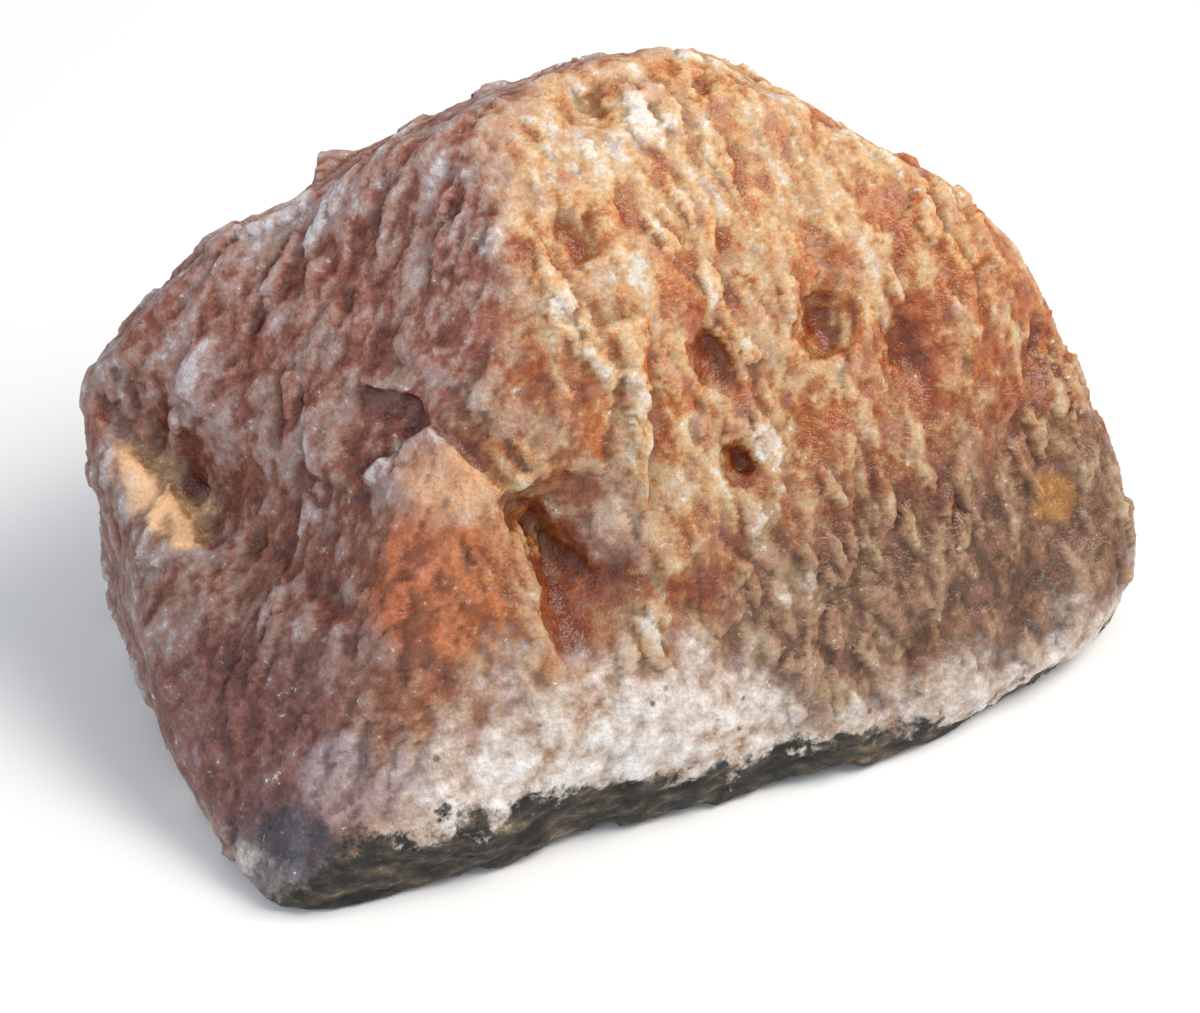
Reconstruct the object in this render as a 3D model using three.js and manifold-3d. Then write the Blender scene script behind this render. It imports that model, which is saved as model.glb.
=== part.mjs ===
// A rough lump of orange vein calcite, broken out by hand: one solid stone, in millimetres, +Z up.
// Flat break faces with worn edges bound the block. Two notches are broken out of its front, and
// the stone left beside each one stands as a ledge. Lumps, growth streaks and pits are pressed into
// that form. The underside is the flat break along the vein wall, on which the stone rests.
import * as THREE from 'three';
import { ImprovedNoise } from 'three/addons/math/ImprovedNoise.js';
import { mergeVertices } from 'three/addons/utils/BufferGeometryUtils.js';
import Module from 'manifold-3d';

// Driving dimensions
const HEART = new THREE.Vector3(0, 2.5, 20); // inner point that sees the whole surface
const FACE_DIVISIONS = 21; // how finely the stone is faceted
const EDGE_WEAR = 0.6; // rounding of the edges between the break faces
const NOTCH_WEAR = 0.25; // rounding in the notches
const NOTCH_RAG = { depth: 0.6, width: 4.5 }; // waviness of the notch walls
const LUMP = { height: 0.9, width: 15 };
const STREAK = { height: 0.55, width: 4.2, length: 13 }; // ribs along the upright crystals
const RELAX_PASSES = 8; // how far the facets are evened out
const STONE_COLOUR = 0xc07a4c;

// A break face faces azimuth az (0 is the front, 90 the right) and rises by el degrees above the
// horizon. It passes through the point at.
const MAIN_BLOCK = [
  { name: 'shaded front', az: -33, el: 39, at: [-6.7, 3.4, 41] },
  { name: 'orange face', az: 4, el: 33, at: [-14, -13.8, 18.5] },
  { name: 'lit crown', az: 37, el: 58, at: [-6.7, 3.4, 41] },
  { name: 'lit slope', az: 34, el: 44, at: [14, 5, 32.5] },
  { name: 'lit front', az: 30, el: 30, at: [2.8, -12, 17] },
  { name: 'white crust', az: 23, el: 8, at: [0, -18, 5.5] },
  { name: 'dark rind', az: 19, el: -14, at: [0, -18, 5.5] },
  { name: 'rind foot', az: 39.5, el: -35, at: [27.8, -10.5, 7.2] },
  { name: 'left flank', az: -87, el: 10.5, at: [-37.5, 6.1, 14.5] },
  { name: 'left overhang', az: -68, el: -12, at: [-34.3, -4.9, 10.7] },
  { name: 'left foot', az: -76, el: -4, at: [-29.9, -15.4, 7.5] },
  { name: 'left toe', az: -61, el: -18.5, at: [-25.9, -22.2, 5.6] },
  { name: 'left shoulder', az: -115.5, el: 38.5, at: [-31, 12, 24.6] },
  { name: 'top strip', az: -130, el: 59, at: [-16.1, 6.6, 39.2] },
  { name: 'back slope', az: -133.5, el: 48, at: [-19.1, 26.2, 25.9] },
  { name: 'top back', az: -147.5, el: 53.5, at: [-5.2, 33.7, 29.3] },
  { name: 'summit', az: -174, el: 57.5, at: [4, 33.4, 32] },
  { name: 'crown back', az: 127, el: 45.5, at: [12.6, 31.8, 30.6] },
  { name: 'right hollow', az: 134, el: 48.5, at: [20.9, 28.3, 26] },
  { name: 'right shoulder', az: 111, el: 35, at: [30.2, 19, 24.2] },
  { name: 'right ridge', az: 99.5, el: 24.5, at: [34.1, 12.6, 19.1] },
  { name: 'right flank', az: 91.5, el: 15.5, at: [36.3, 3.8, 14.9] },
  { name: 'right toe', az: 64.5, el: -15.5, at: [35.5, -3.3, 9.5] },
  { name: 'back wall', az: 176, el: 14, at: [0, 29, 16] },
  { name: 'back left', az: -142, el: 6, at: [-22, 19, 14] },
  { name: 'back right', az: 141, el: -4, at: [24, 20, 14] },
  { name: 'back foot', az: 182, el: -36, at: [0, 28, 6] },
];

// A notch is broken out between its planes: stone stays behind any one of them, and what is left
// beside the notch stands as a ledge.
const NOTCHES = [
  {
    name: 'front ledge',
    planes: [
      { name: 'bright wall', az: 90, el: 27, at: [-5.8, -7.8, 22.9] },
      { name: 'dark floor', az: -12, el: 14, at: [2.6, -10.4, 19.5] },
      { name: 'lower end', az: -5, el: 58, at: [0, -12.4, 16.5] },
    ],
  },
  {
    name: 'crevice above the front ledge',
    planes: [
      { name: 'hidden wall', az: -134, el: 40, at: [-13.1, -8, 25.1] },
      { name: 'dark floor', az: -4, el: 26, at: [-8.5, -6.3, 26.7] },
      { name: 'right end', az: -75, el: 0, at: [-10.5, -7, 27] },
    ],
  },
  {
    name: 'left ledge',
    planes: [
      { name: 'bright wall', az: 88, el: 52, at: [-28.1, -1.5, 17.7] },
      { name: 'dark floor', az: -47, el: 34, at: [-16.8, -8.3, 22.1] },
      { name: 'upper end', az: -33, el: 12, at: [-28.2, 0.8, 23.6] },
      { name: 'lower end', az: -50, el: 62, at: [-25.4, -7.6, 15] },
    ],
  },
];

// Open pits left by lost crystals, drawn out along the growth direction. The rind at the foot
// swells out instead: its depth is below zero.
const PITS = [
  { name: 'crown pit', at: [-1.6, 0.9, 37.6], radius: 2, length: 1.2, depth: 1.6 },
  { name: 'upper slit', at: [14.8, 3.3, 28.9], radius: 1.7, length: 1.8, depth: 1.5 },
  { name: 'middle slit', at: [7.6, -0.6, 29.4], radius: 1.5, length: 2, depth: 1.5 },
  { name: 'right pit', at: [30.8, 8, 23.3], radius: 2.2, length: 1.2, depth: 1.8 },
  { name: 'lower slit', at: [9.3, -4.2, 23.3], radius: 1.5, length: 1.7, depth: 1.2 },
  { name: 'orange hollow', at: [20.7, 4.3, 26.1], radius: 2.1, length: 1.6, depth: 0.9 },
  { name: 'top pit', at: [-0.7, 9.9, 41.7], radius: 1.8, length: 1, depth: 1 },
  { name: 'back hollow', at: [6, 28.5, 20], radius: 7, length: 1.1, depth: 1.5 },
  { name: 'back left hollow', at: [-20, 20, 21], radius: 4.5, length: 1.3, depth: 1.3 },
  { name: 'rind swelling', at: [-11, -21.5, 1], radius: 8, length: 0.8, depth: -1.2 },
];

const grain = new ImprovedNoise();

function facing(az, el) {
  const a = THREE.MathUtils.degToRad(az);
  const e = THREE.MathUtils.degToRad(el);
  return new THREE.Vector3(Math.sin(a) * Math.cos(e), -Math.cos(a) * Math.cos(e), Math.sin(e));
}

function blockOf(faces) {
  return faces.map(({ az, el, at }) =>
    new THREE.Plane().setFromNormalAndCoplanarPoint(facing(az, el), new THREE.Vector3(...at)));
}

// The largest of several depths, with the edge where they meet worn round.
function rounded(depths, wear) {
  const deepest = Math.max(...depths);
  return deepest + wear * Math.log(depths.reduce((sum, d) => sum + Math.exp((d - deepest) / wear), 0));
}

// Depth outside a block of worn faces: below zero inside the stone.
function outside(block, point, wear) {
  return rounded(block.map((face) => face.distanceToPoint(point)), wear);
}

function lumps({ x, y, z }) {
  const w = LUMP.width;
  return LUMP.height * grain.noise(x / w + 3, y / w + 7, z / w + 1);
}

function streaks({ x, y, z }) {
  const { height, width, length } = STREAK;
  return height * grain.noise(x / width + 11, y / width + 5, z / length + 2);
}

function ragged({ x, y, z }) {
  const { depth, width } = NOTCH_RAG;
  return depth * grain.noise(x / width, y / width + 4, z / width + 9);
}

function pitted(point) {
  let sunk = 0;
  for (const { at, radius, length, depth } of PITS) {
    const far = Math.hypot(point.x - at[0], point.y - at[1], (point.z - at[2]) / length) / radius;
    sunk += depth * Math.exp(-((far + 0.5 * ragged(point)) ** 4));
  }
  return sunk;
}

const mainBlock = blockOf(MAIN_BLOCK);
const notches = NOTCHES.map(({ planes }) => blockOf(planes));

function stone(point) {
  let d = outside(mainBlock, point, EDGE_WEAR);
  for (const notch of notches) {
    const kept = -rounded(notch.map((plane) => -plane.distanceToPoint(point)), NOTCH_WEAR);
    d = rounded([d, kept + ragged(point)], NOTCH_WEAR);
  }
  return d + lumps(point) + streaks(point) + pitted(point);
}

// Walks inwards along a ray to the stone's outermost surface.
function surfaceAlong(direction) {
  const START = 62;
  const STEP = 0.5;
  const point = new THREE.Vector3();
  const at = (reach) => stone(point.copy(direction).multiplyScalar(reach).add(HEART));
  let outer = START;
  while (outer > STEP && at(outer - STEP) > 0) outer -= STEP;
  let inner = outer - STEP;
  for (let halving = 0; halving < 14; halving++) {
    const middle = (inner + outer) / 2;
    if (at(middle) > 0) outer = middle;
    else inner = middle;
  }
  return point.copy(direction).multiplyScalar(inner).add(HEART).clone();
}

// Steps a point down or up the steepest way until it lies on the stone's surface.
function settle(point) {
  const REACH = 0.05;
  const probe = new THREE.Vector3();
  const slope = new THREE.Vector3();
  for (let step = 0; step < 3; step++) {
    const here = stone(point);
    for (const axis of ['x', 'y', 'z']) {
      probe.copy(point)[axis] += REACH;
      slope[axis] = (stone(probe) - here) / REACH;
    }
    point.addScaledVector(slope, -THREE.MathUtils.clamp(here / slope.lengthSq(), -1, 1));
  }
}

// Evens out the facets: each corner moves towards the middle of its neighbours, over the surface.
function relax(geometry) {
  const { array } = geometry.index;
  const position = geometry.getAttribute('position');
  const neighbours = Array.from({ length: position.count }, () => []);
  for (let i = 0; i < array.length; i += 3) {
    for (let corner = 0; corner < 3; corner++) {
      neighbours[array[i + corner]].push(array[i + ((corner + 1) % 3)]);
    }
  }
  const point = new THREE.Vector3();
  const other = new THREE.Vector3();
  for (let pass = 0; pass < RELAX_PASSES; pass++) {
    neighbours.forEach((ring, i) => {
      point.set(0, 0, 0);
      ring.forEach((j) => point.add(other.fromBufferAttribute(position, j)));
      point.divideScalar(ring.length);
      settle(point);
      position.setXYZ(i, point.x, point.y, point.z);
    });
  }
}

function roughStone() {
  const SPREAD = new THREE.Vector3(37, 28, 24); // evens out the facets over the long stone
  const ball = new THREE.IcosahedronGeometry(1, FACE_DIVISIONS);
  ball.deleteAttribute('normal');
  ball.deleteAttribute('uv');
  const geometry = mergeVertices(ball);
  const position = geometry.getAttribute('position');
  const direction = new THREE.Vector3();
  for (let i = 0; i < position.count; i++) {
    direction.fromBufferAttribute(position, i).multiply(SPREAD).normalize();
    const { x, y, z } = surfaceAlong(direction);
    position.setXYZ(i, x, y, z);
  }
  relax(geometry);
  return geometry;
}

const wasm = await Module();
wasm.setup();

function solidOf(geometry) {
  const bare = geometry.clone();
  bare.deleteAttribute('normal');
  bare.deleteAttribute('uv');
  const merged = mergeVertices(bare);
  return new wasm.Manifold(new wasm.Mesh({
    numProp: 3,
    vertProperties: merged.getAttribute('position').array,
    triVerts: new Uint32Array(merged.index.array),
  }));
}

function geometryOf(solid) {
  const { vertProperties, triVerts } = solid.getMesh();
  return new THREE.BufferGeometry()
    .setAttribute('position', new THREE.BufferAttribute(vertProperties, 3))
    .setIndex(new THREE.BufferAttribute(triVerts, 1));
}

// The flat break underneath, and the origin at the middle of it.
function restingOnItsBase(geometry) {
  const GROUND = 200;
  const ground = new THREE.BoxGeometry(GROUND, GROUND, GROUND).translate(0, 0, -GROUND / 2);
  const rested = geometryOf(solidOf(geometry).subtract(solidOf(ground)));
  rested.computeBoundingBox();
  const { min, max } = rested.boundingBox;
  return rested.translate(-(min.x + max.x) / 2, -(min.y + max.y) / 2, -min.z);
}

const calcite = new THREE.Mesh(
  restingOnItsBase(roughStone()),
  new THREE.MeshStandardMaterial({ color: STONE_COLOUR, roughness: 0.6, metalness: 0 }),
);
calcite.geometry.computeVertexNormals();
calcite.name = 'calcite_stone';

const specimen = new THREE.Group();
specimen.add(calcite);

export default specimen;
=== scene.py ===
# %% [markdown]
# # A rough lump of orange calcite
# The stone was broken out of a vein by hand. It is orange, glassy calcite under a frosted, powdery
# skin that has chipped away in places, with a white crust and a dark rind of wall rock at its foot.
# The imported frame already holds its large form, so this lesson starts by loading that.

# %% Load the frame
from math import cos, radians, sin

import bpy
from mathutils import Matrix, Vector


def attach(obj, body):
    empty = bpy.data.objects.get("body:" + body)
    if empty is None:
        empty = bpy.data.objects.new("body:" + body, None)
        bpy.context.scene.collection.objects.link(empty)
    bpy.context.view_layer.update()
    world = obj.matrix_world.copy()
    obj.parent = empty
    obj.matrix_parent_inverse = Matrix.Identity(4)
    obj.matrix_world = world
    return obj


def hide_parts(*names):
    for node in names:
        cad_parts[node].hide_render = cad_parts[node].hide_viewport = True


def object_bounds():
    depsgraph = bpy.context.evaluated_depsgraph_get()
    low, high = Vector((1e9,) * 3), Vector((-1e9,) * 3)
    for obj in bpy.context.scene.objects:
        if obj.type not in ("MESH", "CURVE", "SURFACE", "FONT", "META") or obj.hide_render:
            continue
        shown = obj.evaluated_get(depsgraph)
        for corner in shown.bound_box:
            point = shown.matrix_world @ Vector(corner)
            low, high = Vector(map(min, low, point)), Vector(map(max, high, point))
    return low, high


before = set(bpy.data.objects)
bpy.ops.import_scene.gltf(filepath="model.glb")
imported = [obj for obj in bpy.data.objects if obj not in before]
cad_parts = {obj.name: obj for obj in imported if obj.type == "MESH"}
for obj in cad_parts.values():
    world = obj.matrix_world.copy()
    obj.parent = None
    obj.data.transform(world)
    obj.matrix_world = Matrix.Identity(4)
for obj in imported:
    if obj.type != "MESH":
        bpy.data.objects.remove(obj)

MM = 0.001
cad_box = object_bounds()
print("CAD box, mm:", [[round(c / MM, 1) for c in corner] for corner in cad_box])

# %% [markdown]
# ## The camera
# The viewpoint comes before anything else, because every later choice is compared through it. The
# photograph looks down on the front at about 40 degrees with a long lens, from a few hands away.

# %% Camera
VIEW_ELEVATION = radians(40)
VIEW_DISTANCE = 233 * MM
VIEW_TARGET = Vector((-1.3, -0.5, 13.3)) * MM

view_back = Vector((0, -cos(VIEW_ELEVATION), sin(VIEW_ELEVATION)))
bpy.ops.object.camera_add(location=VIEW_TARGET + VIEW_DISTANCE * view_back)
camera = bpy.context.object
camera.rotation_euler = view_back.to_track_quat("Z", "Y").to_euler()
camera.data.lens = 100
camera.data.sensor_fit = "HORIZONTAL"
camera.data.clip_start = 1 * MM
bpy.context.scene.camera = camera
print("camera at, mm:", [round(c / MM) for c in camera.location])

# %% [markdown]
# ## The stone's body
# The frame's solid has the right break faces, ledges and pits, but its facets are over a millimetre
# wide, so its ledges look worn. A copy of it is welded and rounded by one level of subdivision. The
# original mesh stays as it is, because the frame may not change.

# %% Copy and weld the solid
stone = bpy.data.objects.new("calcite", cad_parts["calcite_stone"].data.copy())
bpy.context.scene.collection.objects.link(stone)
stone.data.materials.clear()


def work_on(piece):
    """Selects one piece alone, so that operators act on nothing else."""
    bpy.ops.object.select_all(action="DESELECT")
    piece.select_set(True)
    bpy.context.view_layer.objects.active = piece


def apply_modifier(kind, **settings):
    """Adds one modifier to the stone, sets it and applies it."""
    work_on(stone)
    modifier = stone.modifiers.new(kind.title(), kind)
    for name, value in settings.items():
        setattr(modifier, name, value)
    bpy.ops.object.modifier_apply(modifier=modifier.name)
    print(kind.lower(), "leaves", len(stone.data.polygons), "faces")


work_on(stone)
bpy.ops.object.mode_set(mode="EDIT")
bpy.ops.mesh.select_all(action="SELECT")
bpy.ops.mesh.remove_doubles(threshold=0.001 * MM)
bpy.ops.object.mode_set(mode="OBJECT")
apply_modifier("SUBSURF", levels=1, render_levels=1)

# %% [markdown]
# ## Crisp notches
# Calcite splits along flat cleavage planes, so the walls of the two ledges and of the crevice
# between them are flat and sharp. They could be pushed in point by point, but a cutter is truer to
# how they came about: a block is trimmed by the notch's own planes and then subtracted. Each plane
# is given by the azimuth and elevation that it faces, and a point that it passes through. The slope
# above the front block is first filled with a block of its own, so that the cuts start from an
# unbroken face.

# %% Cut the notches again, sharply
CUTTER_SIZE = 44 * MM
SLOPE_ABOVE = [(147, -39, (-8.1, 0.2, 40.6)), (184, -33, (-15.3, -16.6, 18.3)),
               (214, -44, (12.7, 2.0, 32.4)), (-90, 0, (2.0, -9.0, 28.0)), (90, 0, (-21.0, -9.0, 28.0)),
               (0, -90, (-12.0, -9.0, 33.0)), (0, 90, (-12.0, -9.0, 22.5))]
NOTCHES = {
    "front_notch": [(90, 27, (-7.6, -10.8, 22.6)), (-12, 14, (1.4, -12.7, 19.4)),
                    (15, -15, (-7.6, -11.9, 24.5)), (-5, 58, (-1.3, -16.0, 15.4))],
    "front_crevice": [(94, 27, (-7.6, -10.8, 22.6)), (-38, -10, (-2.5, -12.0, 18.5)),
                      (15, -15, (-7.6, -11.9, 24.5)), (-5, 58, (-0.8, -15.2, 15.6))],
    "block_edge": [(118, 41, (-12.5, -9.4, 27.7)), (-14, 25, (-12.1, -8.8, 27.1))],
    "upper_crevice": [(-134, 40, (-14.0, -9.8, 26.3)), (-16, 43, (-11.7, -8.2, 26.6)),
                      (-75, 0, (-12.2, -10.0, 27.0)), (-20, -58, (-15.0, -7.0, 28.5))],
    "left_notch": [(78, 60, (-29.5, -4.5, 17.1)), (-47, 34, (-17.7, -10.8, 21.8)),
                   (-33, 12, (-29.5, -2.2, 23.6)), (-50, 62, (-26.7, -10.6, 15.0))],
    "left_crevice": [(84, 44, (-29.2, -4.5, 16.9)), (-62, 20, (-26.6, -6.0, 17.6)),
                     (-33, 8, (-29.0, -2.4, 22.0)), (-50, 62, (-26.7, -10.6, 15.6))],
}


def facing(azimuth, elevation):
    """The direction of an azimuth, 0 at the front and 90 at the right, and an elevation."""
    a, e = radians(azimuth), radians(elevation)
    return Vector((sin(a) * cos(e), -cos(a) * cos(e), sin(e)))


def cutter(name, planes):
    """A block trimmed to the space in front of all the planes."""
    middle = sum((Vector(through) for *_, through in planes), Vector()) / len(planes)
    bpy.ops.mesh.primitive_cube_add(size=CUTTER_SIZE, location=middle * MM)
    block = bpy.context.object
    block.name = name
    bpy.ops.object.transform_apply(location=True)
    bpy.ops.object.mode_set(mode="EDIT")
    for azimuth, elevation, through in planes:
        bpy.ops.mesh.select_all(action="SELECT")
        bpy.ops.mesh.bisect(plane_co=Vector(through) * MM, plane_no=facing(azimuth, elevation),
                            use_fill=True, clear_inner=True)
    bpy.ops.object.mode_set(mode="OBJECT")
    return block


def join_block(name, planes, operation):
    """Joins a trimmed block to the stone, or takes it away."""
    block = cutter(name, planes)
    apply_modifier("BOOLEAN", operation=operation, object=block, solver="EXACT")
    bpy.data.objects.remove(block)


join_block("slope_above", SLOPE_ABOVE, "UNION")
for name, planes in NOTCHES.items():
    join_block(name, planes, "DIFFERENCE")

# %% [markdown]
# ## An even skin of small squares
# The relief that comes next moves every point, and long thin triangles would show as scratches. A
# voxel remesh lays an even skin of small squares over the cut stone.

# %% Remesh
SKIN_SQUARE = 0.374 * MM
apply_modifier("REMESH", mode="VOXEL", voxel_size=SKIN_SQUARE)
apply_modifier("SMOOTH", factor=0.5, iterations=1)

# %% [markdown]
# ## Building node trees in code
# Both the relief and the colours are worked out by nodes, and they have to agree: where the frosted
# skin has chipped away, the surface steps down and turns glassy. So the helpers add their nodes to
# any tree, and serve the shape and the material alike.

# %% Helpers that add nodes
def add(tree, kind, inputs=None, **settings):
    """Adds a node. Inputs are plain values or sockets of other nodes, by name or number."""
    node = tree.nodes.new(kind)
    for name, value in settings.items():
        setattr(node, name, value)
    for name, value in (inputs or {}).items():
        if isinstance(value, bpy.types.NodeSocket):
            tree.links.new(value, node.inputs[name])
        else:
            node.inputs[name].default_value = value
    return node


def calc(tree, operation, a, b=0.0, c=0.0):
    return add(tree, "ShaderNodeMath", {0: a, 1: b, 2: c}, operation=operation).outputs[0]


def vector(tree, operation, a, b=(0, 0, 0), scale=1.0):
    node = add(tree, "ShaderNodeVectorMath", {0: a, 1: b, 3: scale}, operation=operation)
    return node.outputs["Value" if operation in {"DOT_PRODUCT", "LENGTH", "DISTANCE"} else "Vector"]


def rise(tree, value, low, high, start=0.0, end=1.0):
    """Rises smoothly from start to end as value goes from low to high."""
    settings = {"Value": value, "From Min": low, "From Max": high, "To Min": start, "To Max": end}
    return add(tree, "ShaderNodeMapRange", settings, interpolation_type="SMOOTHSTEP").outputs[0]


def noise(tree, place, width, detail=2.0, roughness=0.5, distortion=0.0):
    """Soft random blotches about width millimetres across, around one half."""
    settings = {"Vector": place, "Scale": 1 / width, "Detail": detail, "Roughness": roughness,
                "Distortion": distortion}
    return add(tree, "ShaderNodeTexNoise", settings).outputs[0]


def cells(tree, place, width, **settings):
    """Random cells about width millimetres across."""
    return add(tree, "ShaderNodeTexVoronoi", {"Vector": place, "Scale": 1 / width}, **settings)


def mix(tree, share, a, b):
    return add(tree, "ShaderNodeMix", {0: share, 2: a, 3: b}, data_type="FLOAT").outputs[0]


def along(tree, place, direction, stretch):
    """Draws a pattern out along a direction."""
    reach = calc(tree, "MULTIPLY", vector(tree, "DOT_PRODUCT", place, direction), 1 / stretch - 1)
    return vector(tree, "ADD", place, vector(tree, "SCALE", direction, scale=reach))


# %% [markdown]
# ## Measuring the bare stone
# Before anything moves, four facts are stored on every point: its place in millimetres, the way it
# faces, how far that is to the right, and how deep it lies in a hollow. The hollow depth is found
# by blurring the surface and seeing how far the blurred one floats above each point.

# %% Store the bare stone's facts
EVEN_BLUR, SIDE_BLUR, HOLLOW_BLUR = 12, 120, 90
GRAIN_LEFT = Vector((-0.42, -0.62, -0.66)).normalized()
GRAIN_RIGHT = Vector((0.42, -0.62, -0.66)).normalized()


def relief_tree(name):
    """An empty Geometry Nodes tree that takes a mesh in and gives one out."""
    tree = bpy.data.node_groups.new(name, "GeometryNodeTree")
    tree.interface.new_socket("Geometry", in_out="INPUT", socket_type="NodeSocketGeometry")
    tree.interface.new_socket("Geometry", in_out="OUTPUT", socket_type="NodeSocketGeometry")
    return tree, add(tree, "NodeGroupInput").outputs[0]


def store(tree, mesh, name, value, data_type="FLOAT"):
    settings = {"Geometry": mesh, "Name": name, "Value": value}
    node = add(tree, "GeometryNodeStoreNamedAttribute", settings, data_type=data_type, domain="POINT")
    return node.outputs[0]


def stored(tree, name, data_type="FLOAT"):
    return add(tree, "GeometryNodeInputNamedAttribute", {"Name": name}, data_type=data_type).outputs[0]


def blurred(tree, value, times):
    settings = {"Value": value, "Iterations": times}
    return add(tree, "GeometryNodeBlurAttribute", settings, data_type="FLOAT_VECTOR").outputs[0]


def shape_with(tree, mesh):
    """Ends the tree and applies it to the stone."""
    add(tree, "NodeGroupOutput", {0: mesh})
    apply_modifier("NODES", node_group=tree)


tree, mesh = relief_tree("bare stone")
position = add(tree, "GeometryNodeInputPosition").outputs[0]
normal = add(tree, "GeometryNodeInputNormal").outputs[0]
place = vector(tree, "SCALE", position, scale=1 / MM)
even_normal = vector(tree, "NORMALIZE", blurred(tree, normal, EVEN_BLUR))
faces_right = vector(tree, "DOT_PRODUCT", blurred(tree, normal, SIDE_BLUR), (1, 0, 0))
floating = vector(tree, "SUBTRACT", blurred(tree, place, HOLLOW_BLUR), place)
hollow = vector(tree, "DOT_PRODUCT", floating, even_normal)
mesh = store(tree, mesh, "bare_place", place, "FLOAT_VECTOR")
mesh = store(tree, mesh, "bare_normal", even_normal, "FLOAT_VECTOR")
uneven = calc(tree, "SUBTRACT", noise(tree, place, 5, detail=4, roughness=0.6), 0.5)
faces_right = calc(tree, "MULTIPLY_ADD", uneven, 0.7, faces_right)
mesh = store(tree, mesh, "right_side", rise(tree, faces_right, -0.26, 0.22))
mesh = store(tree, mesh, "hollow", hollow)
shape_with(tree, mesh)

# %% [markdown]
# ## Streaks, spots and heights
# Four helpers draw most of what follows. Streaks run down each slope, because the crystals grew
# side by side and split along their length, and a pushed-about place gives a ragged edge to
# whatever is drawn there.

# %% Helpers for streaks, spots and heights
def grained(tree, place, right_side, pattern, stretch=2.2):
    """Makes a pattern twice, down the left slopes and down the right slopes, and joins them."""
    left = pattern(along(tree, place, GRAIN_LEFT, stretch))
    right = pattern(along(tree, place, GRAIN_RIGHT, stretch))
    return mix(tree, right_side, left, right)


def axis(tree, place, name):
    return add(tree, "ShaderNodeSeparateXYZ", {0: place}).outputs[name]


def wandering(tree, place, width, reach):
    """The place, pushed about at random."""
    settings = {"Vector": place, "Scale": 1 / width, "Detail": 4.0, "Roughness": 0.6}
    push = add(tree, "ShaderNodeTexNoise", settings).outputs["Color"]
    push = vector(tree, "SUBTRACT", push, (0.5, 0.5, 0.5))
    return vector(tree, "ADD", place, vector(tree, "SCALE", push, scale=2 * reach))


def spot(tree, place, middle, reach, softness=0.5):
    """1 in a ball around a point, fading to 0 at its edge."""
    return rise(tree, vector(tree, "DISTANCE", place, middle), reach, reach * (1 - softness))


tree, mesh = relief_tree("patterns")
place = stored(tree, "bare_place", "FLOAT_VECTOR")
right_side = stored(tree, "right_side")
hollow = stored(tree, "hollow")
x, z = axis(tree, place, "X"), axis(tree, place, "Z")

# %% [markdown]
# ## Pits
# Crystals have dropped out of the skin and left glassy pits, longer down the slope than they are
# wide. The ones that the eye finds first are put where they lie on the stone, and small ones are
# scattered by chance.

# %% Pattern of the pits
PITS = {
    "crown pit": ((-2.9, -0.9, 36.8), 1.9), "upper slit": ((13.6, 1.5, 28.1), 1.7),
    "middle slit": ((6.3, -2.6, 28.6), 1.4), "right pit": ((29.8, 6.5, 22.1), 1.7),
    "orange hollow": ((19.5, 2.1, 25.5), 1.8), "lower slit": ((8.1, -6.2, 22.5), 1.2),
    "top pit": ((-2.0, 7.9, 41.1), 1.4), "top slit": ((2.4, 7.6, 41.1), 1.0),
    "far slit": ((5.8, 11.0, 41.1), 1.0),
}
ragged = wandering(tree, place, 1.6, 1.7)
pits = 0.0
for middle, reach in PITS.values():
    drawn_out = along(tree, vector(tree, "SUBTRACT", ragged, middle), GRAIN_RIGHT, 1.7)
    pits = calc(tree, "MAXIMUM", pits, spot(tree, drawn_out, (0, 0, 0), reach, 0.7))


def scattered(p):
    """Small pits in a few random cells."""
    cell = cells(tree, p, 2.6)
    chosen = rise(tree, axis(tree, cell.outputs["Color"], "X"), 0.74, 0.8)
    return calc(tree, "MULTIPLY", chosen, rise(tree, cell.outputs["Distance"], 0.34, 0.12))


small_pits = grained(tree, wandering(tree, place, 0.9, 0.6), right_side, scattered)
pits = calc(tree, "MAXIMUM", pits, calc(tree, "MULTIPLY", small_pits, 0.7))

# %% [markdown]
# ## Splinters
# Some crystals still stand out as flat pale splinters, most of them low on the right. They are long
# random cells, and only a few of the cells are raised.

# %% Pattern of the splinters
foot_right = calc(tree, "MULTIPLY", right_side, rise(tree, z, 26, 12))


def raised(p):
    """The flat tops of a few random cells."""
    cell = cells(tree, p, 1.4)
    edge = cells(tree, p, 1.4, feature="DISTANCE_TO_EDGE").outputs["Distance"]
    chance = calc(tree, "MULTIPLY_ADD", foot_right, 0.09, axis(tree, cell.outputs["Color"], "Y"))
    return calc(tree, "MULTIPLY", rise(tree, chance, 0.88, 0.9), rise(tree, edge, 0.02, 0.1))


splinters = grained(tree, wandering(tree, place, 1.2, 0.4), right_side, raised, stretch=3.6)

# %% [markdown]
# ## Thickness of the skin
# The frosted skin is thick in some places and worn through in others. Its thickness is one value,
# about 0 on average, below 0 where glassy calcite shows and above 0 where the skin is white and
# powdery. It is thick on the crown and thin low on the right. As painted shade and painted highlight,
# it is thinned in hollows, so they turn darker, and thickened on convex edges, so they turn paler.

# %% Pattern of the thickness
streaks = grained(tree, place, right_side,
                  lambda p: noise(tree, p, 1.8, detail=5, roughness=0.62, distortion=0.5))
patches = noise(tree, place, 7, detail=2)
thick = calc(tree, "ADD", calc(tree, "SUBTRACT", streaks, 0.5),
             calc(tree, "MULTIPLY", calc(tree, "SUBTRACT", patches, 0.5), 0.2))
crown = calc(tree, "MULTIPLY", rise(tree, z, 28, 38), right_side)
far_right = rise(tree, x, 14, 28)
for amount, share in ((foot_right, -0.05), (crown, 0.03), (pits, -0.08), (far_right, -0.08),
                      (splinters, 0.1)):
    thick = calc(tree, "MULTIPLY_ADD", amount, share, thick)
# Painted shade and highlight: thinner, darker skin in hollows, thicker, paler skin on convex edges.
thick = calc(tree, "SUBTRACT", thick, rise(tree, hollow, -0.7, 0.9, -0.06, 0.07))

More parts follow.
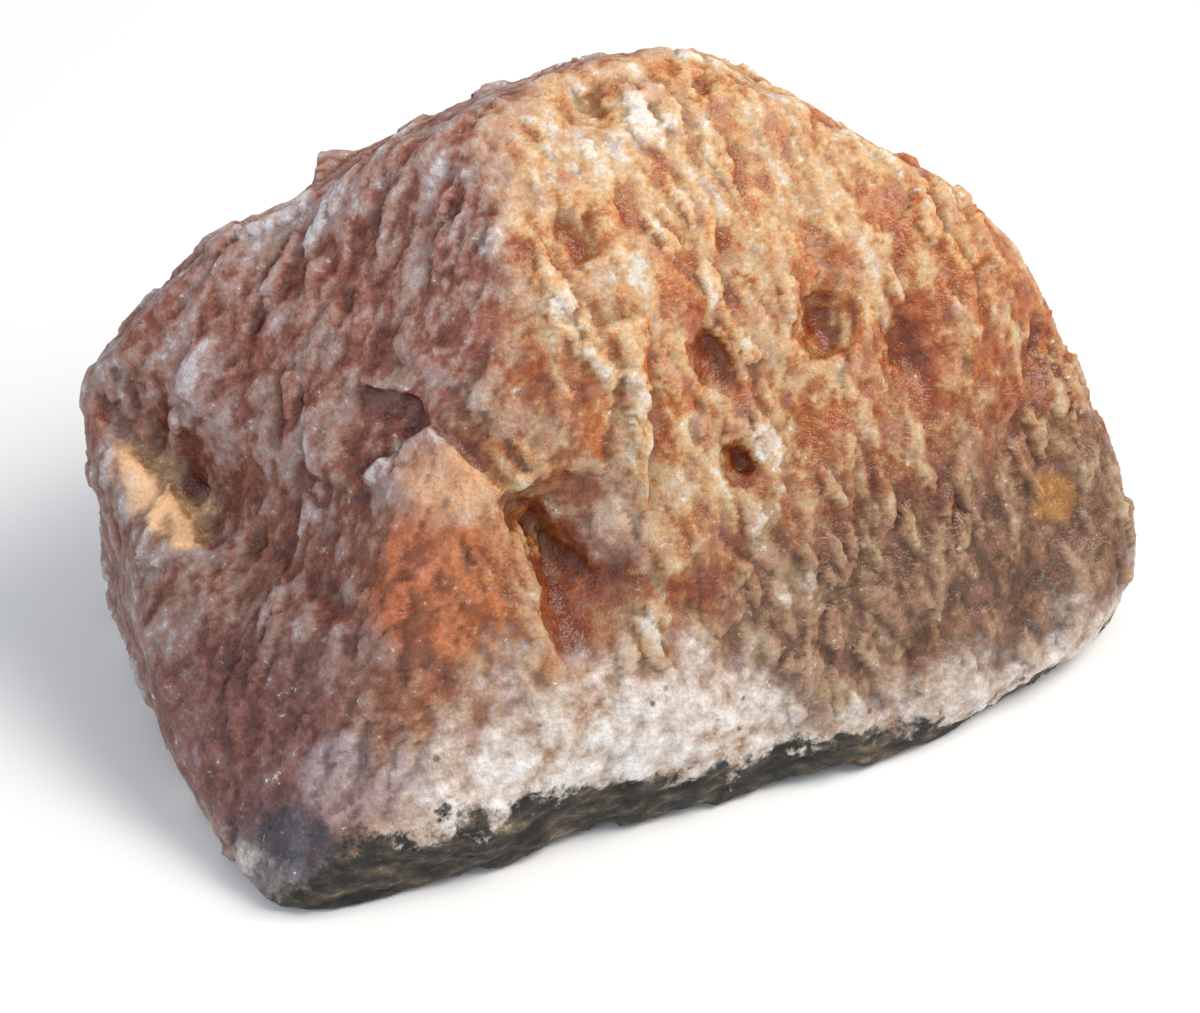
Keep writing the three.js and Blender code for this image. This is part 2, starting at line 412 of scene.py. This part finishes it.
# %% [markdown]
# ## Crust and rind
# A white crust clings to the lower front, and below it the stone ends in a dark, layered rind of
# the wall rock it grew on. Both have an upper edge that rises and falls along the front. How far a
# point lies above that edge is kept in millimetres.

# %% Patterns of the crust and the rind
crust_top = calc(tree, "SUBTRACT", rise(tree, x, -20, -7, 2, 13), rise(tree, x, 5, 15, 0, 7.5))
crust_level = calc(tree, "SUBTRACT", axis(tree, wandering(tree, place, 5, 7), "Z"), crust_top)
rind_top = calc(tree, "SUBTRACT", rise(tree, x, -25, -16, 0.6, 6.0), rise(tree, x, -7, 8, 0, 1.8))
rind_top = calc(tree, "SUBTRACT", rind_top, rise(tree, x, 17, 24, 0, 2.4))
rind_level = calc(tree, "SUBTRACT", axis(tree, wandering(tree, place, 3, 4), "Z"), rind_top)

# %% [markdown]
# ## Stains and painted light
# A few places have a colour of their own: the orange face of the front block, the wine-red and
# slate-grey foot at the left, an amber plate at the right. Cream patches on the lit walls of the left
# ledge and on the top of the front block are painted light. The rib beside the crevice is pale, partly
# its own colour and partly painted light. Each is a ragged ball of colour, and its strength is kept
# as the colour's fourth value.

# %% Stains and painted light
def tone(red, green, blue):
    """A colour as a paint chart gives it, 0 to 255, in the linear light that shaders use."""
    def linear(c):
        c /= 255
        return c / 12.92 if c <= 0.04045 else ((c + 0.055) / 1.055) ** 2.4
    return (linear(red), linear(green), linear(blue), 1)


def tint(tree, share, a, b, blend_type="MIX"):
    settings = {0: share, 6: a, 7: b}
    return add(tree, "ShaderNodeMix", settings, data_type="RGBA", blend_type=blend_type).outputs[2]


# Some entries are painted light: cream on the lit ledge walls and the block's top, and partly on the rib.
STAINS_AND_LIT_PATCHES = {
    "wine foot": ((-26.0, -20.0, 7.0), 14.0, tone(112, 50, 42), 0.6),
    "slate toe": ((-22.0, -27.0, 2.5), 8.0, tone(74, 70, 82), 0.9),
    "lilac patch": ((-18.0, -22.5, 8.4), 3.6, tone(176, 158, 164), 0.6),
    "front lilac patch": ((-13.8, -23.3, 8.1), 2.8, tone(184, 164, 166), 0.6),
    "orange face": ((-11.8, -15.9, 19.6), 7.5, tone(184, 96, 46), 0.75),
    "painted light on block top": ((-11.6, -12.2, 25.0), 3.6, tone(226, 170, 128), 0.65),
    "rib partly painted light": ((-0.6, -12.4, 21.0), 3.2, tone(222, 188, 164), 0.6),
    "painted light on left ledge top": ((-32.8, -2.6, 19.2), 2.7, tone(240, 192, 142), 0.75),
    "painted light on left ledge middle": ((-31.2, -4.3, 18.1), 2.7, tone(240, 196, 150), 0.75),
    "painted light on left ledge end": ((-29.4, -6.2, 16.8), 2.9, tone(240, 192, 142), 0.75),
    "amber plate": ((30.2, -0.2, 13.7), 2.6, tone(220, 150, 70), 0.8),
    "right ember": ((20.0, 2.5, 25.0), 5.0, tone(176, 74, 32), 0.4),
}
ragged = wandering(tree, place, 2.0, 2.2)
stain_and_light_colour = tone(150, 110, 90)
stain_and_light_share = 0.0
for middle, reach, stain_and_light_tint, strength in STAINS_AND_LIT_PATCHES.values():
    ball = spot(tree, ragged, middle, reach)
    stain_and_light_colour = tint(tree, ball, stain_and_light_colour, stain_and_light_tint)
    stain_and_light_share = mix(tree, ball, stain_and_light_share, strength)

# %% [markdown]
# ## Relief
# Each form is carved along the stone's own normals: chipped facets, the skin's edges, pits and
# splinters, lumps on the crust and ledges in the rind. The relief cuts inwards, so the stone stays
# inside the box of the frame's solid, and it dies out at the flat base.

# %% Heights of the relief
CHIP_TILT = 0.13
SKIN_STEP = 0.18
GRAIN_HEIGHT = 0.15
RIB_HEIGHT = 0.3
PIT_DEPTH = 0.5
SPLINTER_HEIGHT = 0.35
CRUST_LUMPS = 0.9
RIND_LEDGES = 1.8


def chips(tree, place, width):
    """Facets that tilt each its own way, as cleavage breaks do: millimetres up or down."""
    cell = cells(tree, place, width)
    tilt = vector(tree, "SUBTRACT", cell.outputs["Color"], (0.5, 0.5, 0.5))
    off = vector(tree, "SUBTRACT", place, cell.outputs["Position"])
    return vector(tree, "DOT_PRODUCT", tilt, off)


def layered(tree, place):
    """Squeezes a pattern into flat layers."""
    return vector(tree, "MULTIPLY", place, (0.45, 0.45, 1))


grains = calc(tree, "SUBTRACT", noise(tree, place, 0.9, detail=4, roughness=0.7), 0.6)
carved = calc(tree, "MULTIPLY", grains, GRAIN_HEIGHT)
ribs = grained(tree, place, right_side, lambda p: noise(tree, p, 1.5, detail=3, roughness=0.6), stretch=4)
carved = calc(tree, "MULTIPLY_ADD", calc(tree, "SUBTRACT", ribs, 0.6), RIB_HEIGHT, carved)
for width in (5.0, 1.8):
    facets = grained(tree, place, right_side, lambda p: chips(tree, p, width))
    carved = calc(tree, "MULTIPLY_ADD", facets, CHIP_TILT, carved)
for amount, height in ((rise(tree, thick, 0.06, -0.08), -SKIN_STEP), (pits, -PIT_DEPTH),
                       (splinters, SPLINTER_HEIGHT)):
    carved = calc(tree, "MULTIPLY_ADD", amount, height, carved)
lumps = calc(tree, "SUBTRACT", noise(tree, place, 2.0, detail=5, roughness=0.6), 0.55)
carved = mix(tree, rise(tree, crust_level, 0.9, -1.3), carved, calc(tree, "MULTIPLY", lumps, CRUST_LUMPS))
ledges = calc(tree, "SUBTRACT", noise(tree, layered(tree, place), 1.4, detail=4, roughness=0.55), 0.6)
carved = mix(tree, rise(tree, rind_level, 0.5, -0.5), carved, calc(tree, "MULTIPLY", ledges, RIND_LEDGES))
carved = calc(tree, "MULTIPLY", carved, rise(tree, z, 0.05, 0.9))

# %% Keep the patterns and move the points
for name, value in (("pits", pits), ("thickness", thick), ("crust_level", crust_level),
                    ("rind_level", rind_level), ("stain_and_light_share", stain_and_light_share)):
    mesh = store(tree, mesh, name, value)
mesh = store(tree, mesh, "stain_and_light_colour", stain_and_light_colour, "FLOAT_COLOR")
normal = stored(tree, "bare_normal", "FLOAT_VECTOR")
offset = vector(tree, "SCALE", normal, scale=calc(tree, "MULTIPLY", carved, MM))
mesh = add(tree, "GeometryNodeSetPosition", {"Geometry": mesh, "Offset": offset}).outputs[0]
position = add(tree, "GeometryNodeInputPosition").outputs[0]
inside = vector(tree, "MINIMUM", vector(tree, "MAXIMUM", position, cad_box[0]), cad_box[1])
mesh = add(tree, "GeometryNodeSetPosition", {"Geometry": mesh, "Position": inside}).outputs[0]
shape_with(tree, mesh)
bpy.ops.object.shade_smooth()

# %% [markdown]
# ## Creases and edges
# Painted shade darkens small creases and a painted highlight brightens small edges. With the relief
# in place, the same blur as before finds them, over a shorter reach.

# %% Store the creases
CREASE_BLUR = 7
tree, mesh = relief_tree("creases")
position = add(tree, "GeometryNodeInputPosition").outputs[0]
normal = add(tree, "GeometryNodeInputNormal").outputs[0]
place = vector(tree, "SCALE", position, scale=1 / MM)
floating = vector(tree, "SUBTRACT", blurred(tree, place, CREASE_BLUR), place)
mesh = store(tree, mesh, "crease", vector(tree, "DOT_PRODUCT", floating, normal))
shape_with(tree, mesh)

# %% [markdown]
# ## The finish
# One material covers the stone. It reads what the patterns stored on the points, so each colour
# lies exactly on its own relief, and adds the grain that is finer than the points. Thick skin is
# rough and pale, and gaps are glassy and deep orange.

# %% Material
def ramp(tree, value, low, high, colours):
    """Runs evenly through the colours as value goes from low to high."""
    settings = {"Value": value, "From Min": low, "From Max": high}
    share = add(tree, "ShaderNodeMapRange", settings).outputs[0]
    node = add(tree, "ShaderNodeValToRGB", {0: share})
    stops = node.color_ramp.elements
    while len(stops) < len(colours):
        stops.new(0.5)
    for number, colour in enumerate(colours):
        stops[number].position = number / (len(colours) - 1)
        stops[number].color = colour
    return node.outputs[0]


finish = bpy.data.materials.new("calcite")
finish.use_nodes = True
tree = finish.node_tree
shader = tree.nodes["Principled BSDF"]


def grey(value):
    return add(tree, "ShaderNodeCombineColor", {0: value, 1: value, 2: value}).outputs[0]


def attribute(name, output="Fac"):
    return add(tree, "ShaderNodeAttribute", attribute_name=name).outputs[output]


place = attribute("bare_place", "Vector")
right_side = attribute("right_side")
crease = attribute("crease")
powder = calc(tree, "SUBTRACT", noise(tree, place, 0.8, detail=5, roughness=0.72), 0.5)
grain = noise(tree, place, 0.3, detail=2, roughness=0.7)
thick = calc(tree, "MULTIPLY_ADD", powder, 0.55, attribute("thickness"))
broken = rise(tree, thick, -0.03, 0.025, -0.02, 0.02)
thick = calc(tree, "MULTIPLY_ADD", thick, 0.9, broken)

# %% [markdown]
# ## Skin colours
# The right faces are peach over orange. The left ones are a darker lilac brown over dark red, partly
# their own tone and partly painted shade. The foot at the right is smoky. Each is a run of colours from
# glassy gap to thick skin.

# %% Skin colours
WORN_THROUGH, THICKEST = -0.18, 0.21
LIT_RIGHT_SKIN_TONES = [tone(176, 76, 24), tone(202, 102, 40), tone(214, 130, 64), tone(218, 150, 94),
              tone(230, 176, 120), tone(236, 194, 146), tone(244, 212, 174), tone(254, 242, 228)]
SHADED_LEFT_SKIN_TONES = [tone(118, 48, 34), tone(152, 78, 56), tone(170, 102, 80), tone(180, 124, 106),
              tone(190, 144, 130), tone(196, 162, 152), tone(206, 180, 176), tone(230, 220, 222)]
SMOKY_FOOT = [tone(112, 74, 46), tone(148, 102, 68), tone(168, 124, 90), tone(186, 146, 112),
              tone(198, 160, 124), tone(210, 178, 142), tone(228, 204, 174), tone(250, 240, 228)]
# Painted shade, in part: faces turned to the left take the darker copy of the skin colours.
colour = tint(tree, right_side, ramp(tree, thick, WORN_THROUGH, THICKEST, SHADED_LEFT_SKIN_TONES),
              ramp(tree, thick, WORN_THROUGH, THICKEST, LIT_RIGHT_SKIN_TONES))
smoky = calc(tree, "MULTIPLY", rise(tree, axis(tree, place, "Z"), 25, 13),
             rise(tree, axis(tree, place, "X"), 1, 10))
colour = tint(tree, calc(tree, "MULTIPLY", smoky, right_side), colour,
              ramp(tree, thick, WORN_THROUGH, THICKEST, SMOKY_FOOT))
mottled = calc(tree, "MULTIPLY", attribute("stain_and_light_share"), rise(tree, powder, -0.2, 0.2, 1.25, 0.75))
mottle = noise(tree, place, 2.0, detail=6, roughness=0.7)
blush = calc(tree, "MULTIPLY", rise(tree, mottle, 0.46, 0.66, 0, 0.6), right_side)
colour = tint(tree, blush, colour, tone(196, 136, 114))
# Painted shade: the colour darkens steadily towards the foot of the stone.
painted_shade_low = rise(tree, axis(tree, place, "Z"), 40, 10, 0.96, 0.68)
colour = tint(tree, 1.0, colour, grey(painted_shade_low), "MULTIPLY")
worn = rise(tree, thick, -0.14, 0.14, 0.72, 1.3)
# The stains, and the painted light of the lit patches, are laid over the skin here.
stain_and_light_tint = tint(tree, 1.0, attribute("stain_and_light_colour", "Color"), grey(worn), "MULTIPLY")
colour = tint(tree, mottled, colour, stain_and_light_tint)

# %% [markdown]
# ## Crust and rind colours
# The crust is white with grey and orange stains and black specks. The rind lies in thin dark and
# tan layers.

# %% Crust and rind colours
CRUST = [tone(178, 128, 92), tone(210, 182, 160), tone(232, 216, 204), tone(244, 234, 226),
         tone(252, 248, 246)]
RIND = [tone(32, 31, 28), tone(54, 50, 43), tone(82, 73, 60), tone(122, 104, 82), tone(176, 154, 128)]
crust_colour = ramp(tree, mottle, 0.3, 0.66, CRUST)
speck = cells(tree, place, 0.75)
black = calc(tree, "MULTIPLY", rise(tree, axis(tree, speck.outputs["Color"], "X"), 0.95, 0.96),
             rise(tree, speck.outputs["Distance"], 0.45, 0.2))
crust_colour = tint(tree, calc(tree, "MULTIPLY", black, 0.8), crust_colour, tone(58, 58, 54))
crust_level = calc(tree, "MULTIPLY_ADD", powder, 9, attribute("crust_level"))
crust = rise(tree, crust_level, 3.2, -3.6)
colour = tint(tree, crust, colour, crust_colour)
fleck = calc(tree, "MULTIPLY", rise(tree, powder, 0.14, 0.19), rise(tree, thick, -0.06, 0.06))
colour = tint(tree, calc(tree, "MULTIPLY", fleck, 0.7), colour, tone(252, 244, 238))
layers = noise(tree, layered(tree, place), 1.1, detail=6, roughness=0.68)
rind_level = calc(tree, "MULTIPLY_ADD", powder, 6, attribute("rind_level"))
rind = rise(tree, rind_level, 0.8, -0.8)
colour = tint(tree, rind, colour, ramp(tree, layers, 0.4, 0.72, RIND))

# %% [markdown]
# ## Grain and surface
# Last come the powdery grain, painted shade in the creases and a painted highlight on small
# edges, and how rough each part is.

# %% Grain and surface
GLASSY, POWDERY = 0.3, 0.72
# The grain is the stone's own tone. The crease term is painted shade in creases and a painted highlight
# on edges.
shade = calc(tree, "MULTIPLY", rise(tree, grain, 0.25, 0.75, 0.62, 0.84),
             rise(tree, crease, -0.12, 0.18, 1.14, 0.6))
colour = tint(tree, 1.0, colour, grey(shade), "MULTIPLY")
tree.links.new(colour, shader.inputs["Base Color"])

dull = calc(tree, "MAXIMUM", rise(tree, thick, -0.08, 0.04), calc(tree, "MAXIMUM", crust, rind))
tree.links.new(mix(tree, dull, GLASSY, POWDERY), shader.inputs["Roughness"])
height = calc(tree, "ADD", grain, calc(tree, "MULTIPLY", chips(tree, place, 0.5), 1.6))
bump = add(tree, "ShaderNodeBump", {"Height": height, "Strength": 0.5, "Distance": 0.3 * MM})
tree.links.new(bump.outputs[0], shader.inputs["Normal"])
stone.data.materials.append(finish)

# %% [markdown]
# ## Floor and light
# The floor is plain and pale. A large warm light stands to the right, a cooler one fills the left.

# %% Studio
bpy.ops.mesh.primitive_plane_add(size=4)
floor = bpy.context.object
floor.name = "floor"
paper = bpy.data.materials.new("paper")
paper.use_nodes = True
paper.node_tree.nodes["Principled BSDF"].inputs["Base Color"].default_value = tone(245, 245, 245)
paper.node_tree.nodes["Principled BSDF"].inputs["Roughness"].default_value = 0.9
floor.data.materials.append(paper)


def studio_light(name, place, size, watts, colour):
    bpy.ops.object.light_add(type="AREA", location=place)
    lamp = bpy.context.object
    lamp.name = name
    lamp.rotation_euler = (Vector(place) - VIEW_TARGET).to_track_quat("Z", "Y").to_euler()
    lamp.data.size = size
    lamp.data.energy = watts
    lamp.data.color = colour


studio_light("key", (0.3, -0.03, 0.4), 0.28, 2.3, (1.0, 0.94, 0.86))
studio_light("fill", (-0.35, -0.45, 0.4), 0.5, 1.3, (0.86, 0.92, 1.0))
world = bpy.data.worlds.new("studio")
world.use_nodes = True
world.node_tree.nodes["Background"].inputs["Color"].default_value = (0.9, 0.94, 1.0, 1)
world.node_tree.nodes["Background"].inputs["Strength"].default_value = 0.52
bpy.context.scene.world = world
bpy.context.scene.view_settings.view_transform = "Standard"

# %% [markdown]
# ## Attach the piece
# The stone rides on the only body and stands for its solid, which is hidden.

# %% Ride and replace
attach(stone, "root")
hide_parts("calcite_stone")
